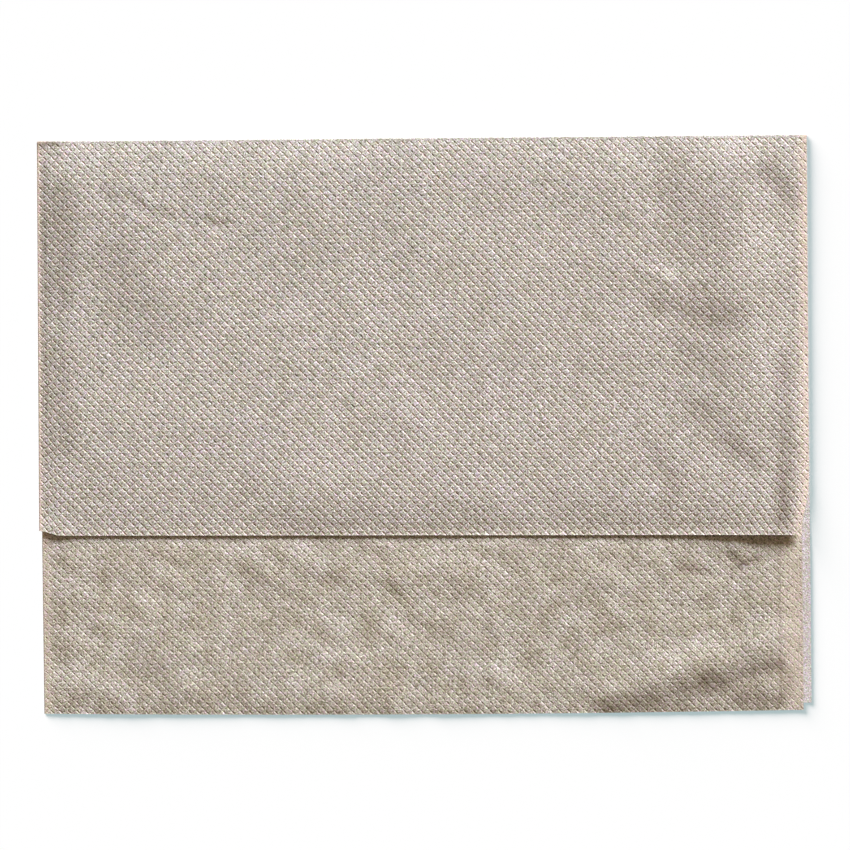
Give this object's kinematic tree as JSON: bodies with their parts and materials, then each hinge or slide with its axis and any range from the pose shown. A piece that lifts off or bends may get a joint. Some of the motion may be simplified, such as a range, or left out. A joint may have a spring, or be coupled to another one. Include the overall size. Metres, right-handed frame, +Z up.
{
  "type": "paper napkin",
  "caption": "Embossed one-ply paper napkin, folded in half along its left side and then folded over across the top, lying flat with its flap uppermost.",
  "frame": {"origin": "middle of the underside's outline, on the surface that the napkin lies on", "axes": "+X to the open side of the leaves, along the fold across the top; +Y towards the fold across the top; +Z up, out of the flap's face"},
  "size_m": [0.1662, 0.1244, 0.0029],
  "materials": {
    "unbleached_tissue": "matte, embossed"
  },
  "bodies": {
    "root": {"napkin": "unbleached_tissue"}
  },
  "joints": []
}
